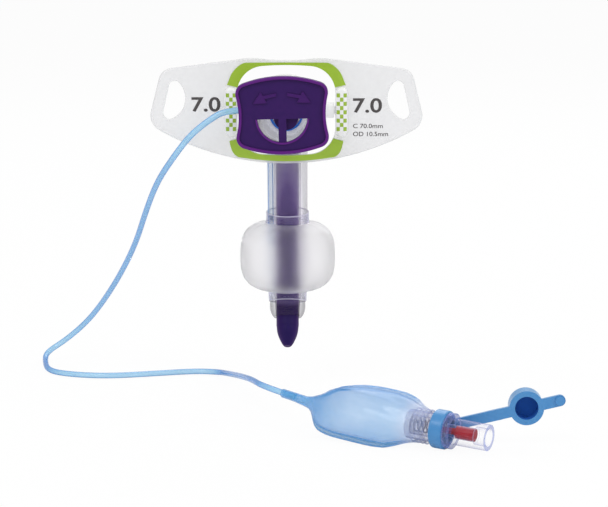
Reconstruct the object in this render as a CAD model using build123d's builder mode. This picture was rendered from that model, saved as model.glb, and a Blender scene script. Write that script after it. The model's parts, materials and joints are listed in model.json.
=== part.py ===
from build123d import *

import os
from math import cos, pi, radians, sin, tan

# A cuffed, fenestrated tracheostomy tube with its obturator in place. +X is to the viewer's right, +Y points
# into the patient, +Z is up. The origin lies on the tube's axis in the plane of the flange's neck side.

# Cannula: a tube that leaves the connector straight and then follows one bend
tube_od = 10.5
tube_wall = 1.75
tube_bore = tube_od - 2 * tube_wall
bend_radius = 42.5
bend_start = -3.0
bend_angle = 112.0
taper_angle = 96.0
shoulder_angle = 105.0
shoulder_drop = 0.7
shoulder_od = tube_od - 2 * shoulder_drop
rim_angle = 110.3
rim_drop = 0.85
tip_drop = 1.6
tip_od = tube_od - 2 * tip_drop
tip_pinch = 0.35
tip_bore = tube_bore - 2 * tip_pinch
bond_gap = 0.05
hole_dia = 1.9
hole_spacing = 3.1
hole_angles = (32.0, 37.5, 43.0, 48.5)

# Inflation lumen in the left wall of the cannula, and the line that is bonded into it
lumen_dia = 1.4
lumen_angle = 86.0
lumen_clearance = 0.04

# Cuff: a thin barrel between two collars that are bonded to the cannula
cuff_dia = 24.9
cuff_length = 19.5
cuff_shoulder = 7.4
cuff_wall = 0.4
cuff_angle = 90.0
collar_wall = 0.35
upper_collar = (72.3, 81.0)
lower_collar = (99.0, 106.3)

# Connector: the 15 mm male end, its base and the two arms that carry the flange
connector_od = 15.0
connector_mouth = -14.5
connector_bore = 11.8
funnel_start = -9.6
funnel_bore = 9.8
ledge = -8.0
ledge_bore = 8.1
cannula_seat = -7.0
mouth_chamfer = 0.5
base_od = 18.4
base_front = -4.6
base_back = 0.0
sleeve_wall = 1.3
collar_od = tube_od + 2 * (bond_gap + sleeve_wall)
collar_back = 2.6
arm_height = 3.5
arm_depth = 2.6
arm_gap = 0.3
pin_dia = 1.8
pin_clearance = 0.05
pin_length = 1.5
trunnion_y = -1.6
trunnion_z = 0.45

# Gland where the inflation line leaves the connector's left side
gland_dia = 2.8
gland_x = -10.2
gland_y = -6.2
gland_z = 1.0
gland_depth = 1.6
gland_root = 1.1

# Neck flange: a clear winged plate with a wide opening, tie slots and two round posts
flange_thickness = 1.6
wing_top = 13.3
wing_top_x = 8.0
wing_top_radius = 20.0
wing_dip = 12.6
top_corner = (30.6, 10.4)
top_corner_radius = 3.6
bottom_corner = (33.9, -2.9)
bottom_corner_radius = 4.2
wing_bottom = -12.7
opening_half_width = 12.0
opening_top = 11.5
opening_bottom = -10.7
opening_crown = 1.0
opening_radius = 6.6
slot_top = (28.2, 8.6)
slot_bulge = (24.75, 4.0)
slot_bottom = (30.6, -2.2)
slot_radius = 1.5
edge_round = 0.45
post_inset = 1.5
post_x = opening_half_width + post_inset
post_width = 2.9
post_length = 12.2
post_z = 0.1
post_height = 1.6
post_round = 0.95

# Coloured bands let into the front of the flange, above and below the opening, with x from the opening's side
band_depth = 0.7
band_proud = 0.15
upper_band_points = ((-0.6, 5.9), (2.5, 6.65), (2.1, 7.6), (1.4, 9.3), (0.0, 10.95), (-1.1, 11.75), (-2.4, 12.05))
upper_band_crown = 12.1
lower_band_points = ((-0.8, -6.4), (1.95, -7.15), (1.6, -8.7), (1.05, -10.0), (0.2, -10.85), (-1.2, -11.2))
lower_band_crown = -12.1

# Obturator: a bent stem with a blunt nose, moulded with a finger plate
stem_clearance = 0.55
stem_dia = tube_bore - 2 * stem_clearance
nose_start = 115.0
nose_stations = ((117.3, 0.93), (119.3, 0.79), (121.0, 0.6), (122.2, 0.43), (122.75, 0.3))
plate_gap = 0.1
plate_x = -0.9
plate_z = 0.76
plate_turn = 1.3
plate_thickness = 1.4
plate_half_height = 9.35
plate_corner = (11.65, 6.8)
plate_waist = 10.4
plate_corner_radius = 2.6
rim_width = 0.75
rim_height = 0.7
rim_round = 0.3
window_radius = 6.0
window_z = -0.55
window_chord = -0.9
window_bar = 1.9
bead_width = 0.45
bead_height = 0.3
arrow_height = 0.35
arrow_shaft = ((1.3, 5.35), (4.5, 4.75), (4.25, 3.95), (1.3, 4.6))
arrow_head = ((3.6, 3.0), (6.9, 2.9), (5.0, 5.7))

# Check valve: lies on the table with its axis towards the viewer's right and a little forward
valve_centre = Vector(37.0, -32.1, -72.2)
valve_heading = 28.2
valve_dip = 3.3
housing_od = 7.0
housing_tail = -8.4
housing_flange_od = 8.6
housing_flange = (1.75, 3.1)
luer_od = 6.3
luer_bore = 4.3
luer_length = 12.2
luer_socket = 3.3
seat_front = 1.2
seat_back = 0.4
seat_hole = 2.0
chamber_bore = 4.8
tail_wall = 0.8
tail_hole = 1.8
plunger_dia = 3.1
plunger_clearance = 0.1
guide_bore = plunger_dia + 2 * plunger_clearance
plunger_front = 8.6
plunger_back = 4.0
plunger_stem_dia = 1.6
poppet_dia = 3.8
poppet_length = 1.0
seal_thickness = 0.6
spring_dia = 3.0
spring_wire = 0.4
spring_turns = 5
spring_gap = 0.15

# Pilot balloon: a flattened pouch between the valve and the end of the line
balloon_heading = 29.2
balloon_dip = 5.4
balloon_roll = 45.0
balloon_length = 41.8
balloon_start = -3.0
balloon_wall = 0.45
balloon_clearance = 0.05
balloon_stations = ((4.5, 5.2, 4.3), (8.0, 7.3, 4.8), (13.0, 8.2, 5.3), (19.0, 8.1, 5.4), (25.0, 7.3, 4.6),
                    (28.5, 5.4, 3.6), (31.0, 3.4, 2.5), (33.5, 1.9, 1.75), (37.0, 1.4, 1.4))
line_insert = 4.8
line_lead = 4.2

# Blue cap on its strap: a ring round the valve, a flat strap, and a cup with a finger tab
ring_od = 9.3
ring_length = 3.3
ring_round = 0.4
ring_clearance = 0.1
strap_rise = 13.2
strap_width = 2.6
strap_thickness = 0.9
strap_root = 4.35
strap_hinge = 11.0
strap_gap = 0.15
cap_reach = 18.8
cap_od = 8.3
cap_bore = 5.6
cap_height = 4.4
cap_depth = 3.6
tab_length = 8.1
tab_width = 2.7
tab_bump_dia = 2.2
tab_bump_height = 0.5

# Inflation line from the gland, over the left wing and down to the table, to the neck of the balloon
line_dia = 1.5
line_bore_gap = 0.05
line_exit = 4.4
arc_share = 0.45
line_route = (
    (-19.0, -6.8, -1.6), (-23.5, -6.6, -5.3), (-27.8, -2.8, -11.2), (-32.2, 6.0, -18.2),
    (-35.8, 17.0, -27.2), (-39.2, 30.0, -37.2), (-44.0, 43.5, -47.4), (-49.8, 56.0, -57.4), (-55.5, 65.5, -65.4),
    (-61.5, 70.2, -71.6), (-67.2, 68.6, -75.4), (-69.4, 61.5, -76.2), (-66.5, 53.5, -76.2), (-58.5, 47.0, -76.2),
    (-48.0, 45.0, -76.2), (-36.0, 48.2, -76.2), (-25.0, 51.4, -76.2), (-18.4, 48.6, -75.9), (-15.9, 40.0, -74.4),
    (-13.5, 29.0, -72.4), (-11.0, 16.0, -70.1), (-8.7, 4.7, -68.3),
)

os.makedirs("parts", exist_ok=True)


def bend_plane(angle):
    """The plane across the bend at an angle from its start, facing along the tube."""
    a = radians(angle)
    origin = (0, bend_start + bend_radius * sin(a), bend_radius * cos(a) - bend_radius)
    return Plane(origin=origin, x_dir=(1, 0, 0), z_dir=(0, cos(a), -sin(a)))


def radial_plane(angle):
    """The plane through the tube's axis at an angle along the bend, facing the outside of the curve."""
    a = radians(angle)
    return Plane(origin=bend_plane(angle).origin, x_dir=(1, 0, 0), z_dir=(0, sin(a), cos(a)))


def front_plane(y):
    """An upright plane at y that faces the viewer."""
    return Plane(origin=(0, y, 0), x_dir=(1, 0, 0), z_dir=(0, -1, 0))


def bend_path(start, end_angle, x=0.0):
    """The tube's axis from y = start to an angle along the bend, moved sideways by x."""
    with BuildLine(Plane.YZ.offset(x)) as path:
        Line((start, 0), (bend_start, 0))
        CenterArc((bend_start, -bend_radius), bend_radius, 90, -end_angle)
    return path.wires()[0]


def cannula_solid(start, body_dia, shoulder_dia, rim_dia, end_dia):
    """A round rod along the tube's axis with the cannula's taper towards the tip."""
    with BuildPart() as rod:
        with BuildSketch(front_plane(start)):
            Circle(body_dia / 2)
        sweep(path=bend_path(start, taper_angle))
        with BuildSketch(bend_plane(taper_angle)):
            Circle(body_dia / 2)
        with BuildSketch(bend_plane(shoulder_angle)):
            Circle(shoulder_dia / 2)
        with BuildSketch(bend_plane(rim_angle)):
            Circle(rim_dia / 2)
        with BuildSketch(bend_plane(bend_angle)):
            Circle(end_dia / 2)
        loft()
    return rod.part


def wall_dia(angle):
    """The outside diameter of the cannula at an angle along the bend."""
    if angle <= taper_angle:
        return tube_od
    share = (angle - taper_angle) / (shoulder_angle - taper_angle)
    return tube_od + (shoulder_od - tube_od) * min(share, 1.0)


def wing_face():
    """The outline of the flange, both wings, as seen from the front."""
    with BuildSketch() as face:
        with BuildLine():
            ThreePointArc((-wing_top_x, wing_top), (0, wing_dip), (wing_top_x, wing_top))
            Line((wing_top_x, wing_top), top_corner)
            Line(top_corner, bottom_corner)
            ThreePointArc(bottom_corner, (0, wing_bottom), (-bottom_corner[0], bottom_corner[1]))
            Line((-bottom_corner[0], bottom_corner[1]), (-top_corner[0], top_corner[1]))
            Line((-top_corner[0], top_corner[1]), (-wing_top_x, wing_top))
        make_face()
        fillet(face.vertices().group_by(Axis.Y)[0], bottom_corner_radius)
        fillet(face.vertices().filter_by(lambda v: abs(abs(v.X) - top_corner[0]) < 0.01), top_corner_radius)
        fillet(face.vertices().filter_by(lambda v: abs(abs(v.X) - wing_top_x) < 0.01), wing_top_radius)
    return face.sketch


def opening_face():
    """The outline of the flange's wide opening, crowned at the top and the bottom."""
    side_top = opening_top - opening_crown
    side_bottom = opening_bottom + opening_crown
    with BuildSketch() as face:
        with BuildLine():
            ThreePointArc((-opening_half_width, side_top), (0, opening_top), (opening_half_width, side_top))
            Line((opening_half_width, side_top), (opening_half_width, side_bottom))
            ThreePointArc((opening_half_width, side_bottom), (0, opening_bottom), (-opening_half_width, side_bottom))
            Line((-opening_half_width, side_bottom), (-opening_half_width, side_top))
        make_face()
        fillet(face.vertices(), opening_radius)
    return face.sketch


def slot_face():
    """The two tie slots, straight on the outer side and round on the inner one."""
    with BuildSketch() as face:
        with BuildLine():
            Line(slot_top, slot_bottom)
            ThreePointArc(slot_bottom, slot_bulge, slot_top)
        make_face()
        fillet(face.vertices(), slot_radius)
        mirror(about=Plane.YZ)
    return face.sketch


def band_face(points, crown):
    """A band's face: smooth outer edges on both sides of a crown, open towards the flange's opening."""
    inner, *edge = [(opening_half_width + x, z) for x, z in points]
    far_inner, *far_edge = [(-x, z) for x, z in (inner, *edge)]
    with BuildSketch() as face:
        with BuildLine():
            Line(inner, edge[0])
            Spline(*edge)
            ThreePointArc(edge[-1], (0, crown), far_edge[-1])
            Spline(*reversed(far_edge))
            Polyline(far_edge[0], far_inner, inner)
        make_face()
        add(opening, mode=Mode.SUBTRACT)
    return face.sketch


def handle_face(inset):
    """The finger plate's outline, waisted at the sides, drawn in by inset."""
    x, z = plate_corner
    with BuildSketch() as face:
        with BuildLine():
            ThreePointArc((-x, z), (0, plate_half_height), (x, z))
            ThreePointArc((x, z), (plate_waist, 0), (x, -z))
            ThreePointArc((x, -z), (0, -plate_half_height), (-x, -z))
            ThreePointArc((-x, -z), (-plate_waist, 0), (-x, z))
        make_face()
        fillet(face.vertices(), plate_corner_radius)
        if inset > 0:
            offset(amount=-inset, mode=Mode.REPLACE)
    return face.sketch


def plate_plane(y):
    """The finger plate's own plane at y, turned a little about the tube's axis."""
    a = radians(plate_turn)
    return Plane(origin=(plate_x, y, plate_z), x_dir=(cos(a), 0, sin(a)), z_dir=(0, -1, 0))


def heading(turn, dip):
    """A direction to the right, turned towards the viewer and dipped below the level."""
    level = cos(radians(dip))
    return Vector(level * cos(radians(turn)), -level * sin(radians(turn)), -sin(radians(dip)))


def balloon_plane(t):
    """The plane across the balloon at t from the valve, with X along the pouch's welded seam."""
    return Plane(origin=balloon_root - balloon_dir * t, x_dir=seam_dir, z_dir=-balloon_dir)


def pouch(wall):
    """The balloon's body as a loft through its oval stations, drawn in by wall."""
    with BuildPart() as body:
        for t, half_width, half_thickness in pouch_stations:
            with BuildSketch(balloon_plane(t)):
                Ellipse(half_width - wall, half_thickness - wall)
        loft()
    return body.part


# Outer cannula: tapered tube with its bore, the lumen in its wall and the fenestration holes
lumen_x = -(tube_od + tube_bore) / 4
rim_od = tube_od - 2 * rim_drop
cannula_outside = cannula_solid(cannula_seat, tube_od, shoulder_od, rim_od, tip_od)
cannula_bore = cannula_solid(cannula_seat, tube_bore, tube_bore, tip_bore, tip_bore)
with BuildPart() as outer_cannula:
    add(cannula_outside)
    add(cannula_bore, mode=Mode.SUBTRACT)
    with BuildSketch(front_plane(cannula_seat)):
        with Locations((lumen_x, 0)):
            Circle(lumen_dia / 2 + lumen_clearance)
    sweep(path=bend_path(cannula_seat, lumen_angle, lumen_x), mode=Mode.SUBTRACT)
    for hole_angle in hole_angles:
        with BuildSketch(radial_plane(hole_angle)):
            with GridLocations(hole_spacing, hole_spacing, 2, 1):
                Circle(hole_dia / 2)
        extrude(amount=tube_od, mode=Mode.SUBTRACT)
outer_cannula.part.label = "outer_cannula"
export_step(outer_cannula.part, "parts/outer_cannula.step")

# Cuff line: the strand of inflation line inside the lumen
with BuildPart() as cuff_line:
    with BuildSketch(front_plane(cannula_seat)):
        with Locations((lumen_x, 0)):
            Circle(lumen_dia / 2)
    sweep(path=bend_path(cannula_seat, lumen_angle, lumen_x))
cuff_line.part.label = "cuff_line"
export_step(cuff_line.part, "parts/cuff_line.step")

# Cuff: a thin barrel closed by two collars on the cannula
bond = 2 * bond_gap
cannula_clearance = cannula_solid(cannula_seat, tube_od + bond, shoulder_od + bond, rim_od + bond, tip_od + bond)
cuff_plane = front_plane(bend_plane(cuff_angle).origin.Y)
cuff_axis = Axis(bend_plane(cuff_angle).origin, (0, 0, 1))
with BuildPart() as cuff:
    for inset, cuff_mode in ((0, Mode.ADD), (cuff_wall, Mode.SUBTRACT)):
        with BuildSketch(cuff_plane) as cuff_profile:
            with Locations((0, bend_plane(cuff_angle).origin.Z)):
                Rectangle(cuff_dia / 2 - inset, cuff_length - 2 * inset, align=(Align.MIN, Align.CENTER))
            fillet(cuff_profile.vertices().group_by(Axis.X)[-1], cuff_shoulder - inset)
        revolve(axis=cuff_axis, mode=cuff_mode)
    for collar in (upper_collar, lower_collar):
        for collar_angle in (collar[0], sum(collar) / 2, collar[1]):
            with BuildSketch(bend_plane(collar_angle)):
                Circle(wall_dia(collar_angle) / 2 + bond_gap + collar_wall)
        loft()
    add(cannula_clearance, mode=Mode.SUBTRACT)
cuff.part.label = "cuff"
export_step(cuff.part, "parts/cuff.step")

# Connector hub: the 15 mm connector with its funnel, base, flange arms and line gland
with BuildPart() as connector_hub:
    with BuildSketch(Plane.XY):
        with BuildLine():
            Polyline(
                (0, connector_mouth), (connector_od / 2 - mouth_chamfer, connector_mouth),
                (connector_od / 2, connector_mouth + mouth_chamfer), (connector_od / 2, base_front),
                (base_od / 2, base_front), (base_od / 2, base_back), (collar_od / 2, base_back),
                (collar_od / 2, collar_back), (0, collar_back), close=True,
            )
        make_face()
    revolve(axis=Axis.Y)
    arm_end = opening_half_width - arm_gap
    for side in (-1, 1):
        with BuildSketch(Plane(origin=(side * arm_end, trunnion_y, trunnion_z), x_dir=(0, 1, 0), z_dir=(-side, 0, 0))):
            Rectangle(arm_depth, arm_height)
        extrude(amount=arm_end - connector_od / 2)
        with BuildSketch(Plane(origin=(side * arm_end, trunnion_y, trunnion_z), x_dir=(0, 1, 0), z_dir=(side, 0, 0))):
            Circle(pin_dia / 2)
        extrude(amount=pin_length)
    with BuildSketch(Plane(origin=(gland_x, gland_y, gland_z), x_dir=(0, 1, 0), z_dir=(1, 0, 0))):
        Circle(gland_dia / 2)
    extrude(amount=gland_root - gland_x - connector_od / 2)
    with BuildSketch(Plane.XY):
        with BuildLine():
            Polyline(
                (0, connector_mouth), (connector_bore / 2, connector_mouth), (connector_bore / 2, funnel_start),
                (funnel_bore / 2, ledge), (ledge_bore / 2, ledge), (ledge_bore / 2, cannula_seat),
                (0, cannula_seat), close=True,
            )
        make_face()
    revolve(axis=Axis.Y, mode=Mode.SUBTRACT)
    add(cannula_clearance, mode=Mode.SUBTRACT)
    with BuildSketch(Plane(origin=(gland_x, gland_y, gland_z), x_dir=(0, 1, 0), z_dir=(1, 0, 0))):
        Circle(line_dia / 2 + line_bore_gap)
    extrude(amount=gland_depth, mode=Mode.SUBTRACT)
connector_hub.part.label = "connector_hub"
export_step(connector_hub.part, "parts/connector_hub.step")

# Neck flange: clear plate with its opening, slots, posts and the recesses for the bands
wings = wing_face()
opening = opening_face()
upper_face = band_face(upper_band_points, upper_band_crown)
lower_face = band_face(lower_band_points, lower_band_crown)
with BuildPart() as neck_flange:
    with BuildSketch(front_plane(0)):
        add(wings)
        add(opening, mode=Mode.SUBTRACT)
        add(slot_face(), mode=Mode.SUBTRACT)
    extrude(amount=flange_thickness)
    for plate_face in neck_flange.faces().filter_by(Axis.Y):
        fillet(plate_face.outer_wire().edges(), edge_round)
    with BuildSketch(front_plane(-flange_thickness)):
        with Locations((-post_x, post_z), (post_x, post_z)):
            SlotOverall(post_length, post_width, rotation=90)
    extrude(amount=post_height)
    fillet(neck_flange.faces().group_by(Axis.Y)[0].edges(), post_round)
    with BuildSketch(front_plane(-flange_thickness)):
        add(upper_face)
        add(lower_face)
    extrude(amount=-band_depth, mode=Mode.SUBTRACT)
    for side in (-1, 1):
        with BuildSketch(Plane(origin=(0, trunnion_y, trunnion_z), x_dir=(0, 1, 0), z_dir=(side, 0, 0))):
            Circle(pin_dia / 2 + pin_clearance)
        extrude(amount=arm_end + pin_length + arm_gap, mode=Mode.SUBTRACT)
neck_flange.part.label = "neck_flange"
export_step(neck_flange.part, "parts/neck_flange.step")

# Size bands: coloured inlays that fill the flange's recesses and stand a little proud
with BuildPart() as upper_size_band:
    with BuildSketch(front_plane(band_depth - flange_thickness)):
        add(upper_face)
    extrude(amount=band_depth + band_proud)
upper_size_band.part.label = "upper_size_band"
export_step(upper_size_band.part, "parts/upper_size_band.step")

with BuildPart() as lower_size_band:
    with BuildSketch(front_plane(band_depth - flange_thickness)):
        add(lower_face)
    extrude(amount=band_depth + band_proud)
lower_size_band.part.label = "lower_size_band"
export_step(lower_size_band.part, "parts/lower_size_band.step")

# Obturator: bent stem with a blunt nose and the finger plate with its rim, windows and arrows
plate_back = connector_mouth - plate_gap
plate_front = plate_back - plate_thickness
with BuildPart() as obturator:
    with BuildSketch(front_plane(plate_back)):
        Circle(stem_dia / 2)
    sweep(path=bend_path(plate_back, nose_start))
    for nose_angle, nose_share in ((nose_start, 1.0), *nose_stations):
        with BuildSketch(bend_plane(nose_angle)):
            Circle(stem_dia / 2 * nose_share)
    loft()
    with BuildSketch(plate_plane(plate_back)):
        add(handle_face(0))
    extrude(amount=plate_thickness)
    with BuildSketch(plate_plane(plate_front)):
        add(handle_face(0))
        add(handle_face(rim_width), mode=Mode.SUBTRACT)
    extrude(amount=rim_height)
    fillet(obturator.faces().group_by(Axis.Y)[0].edges(), rim_round)
    with BuildSketch(plate_plane(plate_front)):
        for points in (arrow_shaft, arrow_head):
            with BuildLine():
                Polyline(*points, close=True)
            make_face()
        mirror(about=Plane.YZ)
    extrude(amount=arrow_height)
    with BuildSketch(plate_plane(plate_front)):
        with Locations((0, window_z)):
            Circle(window_radius + bead_width)
        with Locations((0, window_chord)):
            Rectangle(4 * window_radius, 2 * window_radius, align=(Align.CENTER, Align.MAX), mode=Mode.INTERSECT)
        with Locations((0, window_z)):
            Circle(window_radius, mode=Mode.SUBTRACT)
    extrude(amount=bead_height)
    with BuildSketch(plate_plane(plate_front)):
        with Locations((0, window_z)):
            Circle(window_radius)
        with Locations((0, window_chord)):
            Rectangle(4 * window_radius, 2 * window_radius, align=(Align.CENTER, Align.MAX), mode=Mode.INTERSECT)
        Rectangle(window_bar, 4 * window_radius, mode=Mode.SUBTRACT)
    extrude(amount=-plate_thickness, mode=Mode.SUBTRACT)
obturator.part.label = "obturator"
export_step(obturator.part, "parts/obturator.step")

# Directions of the valve and the balloon
valve_dir = heading(valve_heading, valve_dip)
valve_side = Vector(sin(radians(valve_heading)), cos(radians(valve_heading)), 0)
valve_plane = Plane(origin=valve_centre, x_dir=valve_side, z_dir=valve_side.cross(valve_dir))
valve_axis = Axis(valve_centre, valve_dir)
balloon_dir = heading(balloon_heading, balloon_dip)
balloon_root = valve_centre + valve_dir * balloon_start
balloon_neck = balloon_root - balloon_dir * balloon_length
level_side = Vector(-sin(radians(balloon_heading)), -cos(radians(balloon_heading)), 0)
balloon_up = level_side.cross(balloon_dir)
seam_dir = level_side * cos(radians(balloon_roll)) - balloon_up * sin(radians(balloon_roll))

# Valve housing: clear female Luer body with a guide bore, a valve seat and a spring chamber
with BuildPart() as valve_housing:
    with BuildSketch(valve_plane):
        with BuildLine():
            Polyline(
                (tail_hole / 2, housing_tail), (housing_od / 2, housing_tail), (housing_od / 2, housing_flange[0]),
                (housing_flange_od / 2, housing_flange[0]), (housing_flange_od / 2, housing_flange[1]),
                (luer_od / 2, housing_flange[1]), (luer_od / 2, luer_length), (luer_bore / 2, luer_length),
                (luer_bore / 2, luer_length - luer_socket), (guide_bore / 2, luer_length - luer_socket),
                (guide_bore / 2, seat_front), (seat_hole / 2, seat_front), (seat_hole / 2, seat_back),
                (chamber_bore / 2, seat_back), (chamber_bore / 2, housing_tail + tail_wall),
                (tail_hole / 2, housing_tail + tail_wall), close=True,
            )
        make_face()
    revolve(axis=valve_axis)
valve_housing.part.label = "valve_housing"
export_step(valve_housing.part, "parts/valve_housing.step")

# Plunger: red push rod whose stem passes the seat and ends in the poppet
poppet_front = seat_back - seal_thickness
with BuildPart() as valve_plunger:
    with BuildSketch(valve_plane):
        with BuildLine():
            Polyline(
                (0, plunger_front), (plunger_dia / 2, plunger_front), (plunger_dia / 2, plunger_back),
                (plunger_stem_dia / 2, plunger_back), (plunger_stem_dia / 2, poppet_front),
                (poppet_dia / 2, poppet_front), (poppet_dia / 2, poppet_front - poppet_length),
                (0, poppet_front - poppet_length), close=True,
            )
        make_face()
    revolve(axis=valve_axis)
valve_plunger.part.label = "valve_plunger"
export_step(valve_plunger.part, "parts/valve_plunger.step")

# Seal: soft washer on the stem between the poppet and the seat
with BuildPart() as valve_seal:
    with BuildSketch(valve_plane):
        with Locations((plunger_stem_dia / 2 + bond_gap, poppet_front)):
            Rectangle(
                (poppet_dia - plunger_stem_dia) / 2 - bond_gap, seal_thickness, align=(Align.MIN, Align.MIN)
            )
    revolve(axis=valve_axis)
valve_seal.part.label = "valve_seal"
export_step(valve_seal.part, "parts/valve_seal.step")

# Spring: coil between the chamber's tail wall and the poppet
spring_back = housing_tail + tail_wall + spring_gap + spring_wire / 2
spring_length = poppet_front - poppet_length - spring_gap - spring_wire / 2 - spring_back
spring_centre = valve_centre + valve_dir * spring_back
with BuildPart() as valve_spring:
    with BuildLine() as spring_path:
        Helix(spring_length / spring_turns, spring_length, spring_dia / 2, spring_centre, valve_dir)
    with BuildSketch(Plane(origin=spring_path.line @ 0, z_dir=spring_path.line % 0)):
        Circle(spring_wire / 2)
    sweep(path=spring_path.wires()[0], is_frenet=True)
valve_spring.part.label = "valve_spring"
export_step(valve_spring.part, "parts/valve_spring.step")

# Pilot balloon: hollow pouch, sleeved on the valve's tail and on the end of the line
sleeve_radius = housing_od / 2 + balloon_clearance + balloon_wall
neck_radius = line_dia / 2 + line_bore_gap + balloon_wall
pouch_stations = (
    ((0.0, sleeve_radius, sleeve_radius),) + balloon_stations + ((balloon_length, neck_radius, neck_radius),)
)
pouch_outside = pouch(0)
pouch_inside = pouch(balloon_wall)
with BuildPart() as pilot_balloon:
    add(pouch_outside)
    add(pouch_inside, mode=Mode.SUBTRACT)
    with BuildSketch(valve_plane):
        with Locations((0, housing_tail)):
            Rectangle(housing_od / 2 + balloon_clearance, -housing_tail, align=(Align.MIN, Align.MIN))
    revolve(axis=valve_axis, mode=Mode.SUBTRACT)
    with BuildSketch(balloon_plane(balloon_length)):
        Circle(line_dia / 2 + line_bore_gap)
    extrude(amount=-line_insert, mode=Mode.SUBTRACT)
pilot_balloon.part.label = "pilot_balloon"
export_step(pilot_balloon.part, "parts/pilot_balloon.step")

# Cap tether: the blue ring on the valve and the first half of its strap
strap_dir = Vector(cos(radians(strap_rise)), 0, sin(radians(strap_rise)))
strap_plane = Plane(origin=valve_centre + valve_side * strap_root, x_dir=strap_dir, z_dir=(0, -1, 0))
strap_back = strap_plane.offset(-strap_thickness / 2)
with BuildPart() as cap_tether:
    with BuildSketch(valve_plane) as ring_profile:
        with Locations((housing_od / 2 + ring_clearance, 0)):
            Rectangle(
                (ring_od - housing_od) / 2 - ring_clearance, ring_length, align=(Align.MIN, Align.CENTER)
            )
        fillet(ring_profile.vertices().group_by(Axis.X)[-1], ring_round)
    revolve(axis=valve_axis)
    with BuildSketch(strap_back):
        Rectangle(strap_hinge - strap_gap / 2, strap_width, align=(Align.MIN, Align.CENTER))
    extrude(amount=strap_thickness)
cap_tether.part.label = "cap_tether"
export_step(cap_tether.part, "parts/cap_tether.step")

# Luer cap: the rest of the strap, the cup and the finger tab
with BuildPart() as luer_cap:
    with BuildSketch(strap_back):
        with Locations((strap_hinge + strap_gap / 2, 0)):
            Rectangle(cap_reach - strap_hinge, strap_width, align=(Align.MIN, Align.CENTER))
        with Locations((cap_reach + tab_length / 2, 0)):
            SlotOverall(tab_length + tab_width, tab_width)
    extrude(amount=strap_thickness)
    with BuildSketch(strap_plane.offset(strap_thickness / 2)):
        with Locations((cap_reach, 0)):
            Circle(cap_od / 2)
    extrude(amount=-cap_height)
    with BuildSketch(strap_plane.offset(strap_thickness / 2)):
        with Locations((cap_reach + tab_length, 0)):
            Circle(tab_bump_dia / 2)
    extrude(amount=tab_bump_height)
    with BuildSketch(strap_plane.offset(strap_thickness / 2)):
        with Locations((cap_reach, 0)):
            Circle(cap_bore / 2)
    extrude(amount=-cap_depth, mode=Mode.SUBTRACT)
luer_cap.part.label = "luer_cap"
export_step(luer_cap.part, "parts/luer_cap.step")

# Inflation line: straight runs joined by tangent arcs as large as the runs allow
line_points = [Vector(gland_x + gland_depth, gland_y, gland_z), Vector(gland_x - line_exit, gland_y, gland_z)]
line_points += [Vector(*point) for point in line_route]
line_points += [balloon_neck - balloon_dir * line_lead, balloon_neck + balloon_dir * line_insert]
line_radii = []
for before, corner, after in zip(line_points, line_points[1:], line_points[2:]):
    half_turn = radians((corner - before).get_angle(after - corner)) / 2
    shorter_run = min((corner - before).length, (after - corner).length)
    line_radii.append(arc_share * shorter_run / tan(half_turn))
print("line radii", [round(radius, 1) for radius in line_radii])
with BuildPart() as inflation_line:
    with BuildLine() as line_path:
        FilletPolyline(*line_points, radius=line_radii)
    with BuildSketch(Plane(origin=line_points[0], z_dir=line_points[1] - line_points[0])):
        Circle(line_dia / 2)
    sweep(path=line_path.wires()[0])
line_length = line_path.wires()[0].length
print("line length", round(line_length, 1))
print("volume share", round(inflation_line.part.volume / (pi * line_dia**2 / 4 * line_length), 4))
inflation_line.part.label = "inflation_line"
export_step(inflation_line.part, "parts/inflation_line.step")
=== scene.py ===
import json
from math import cos, exp, pi, radians, sin

import bmesh
import bpy
from mathutils import Matrix, Vector


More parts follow.
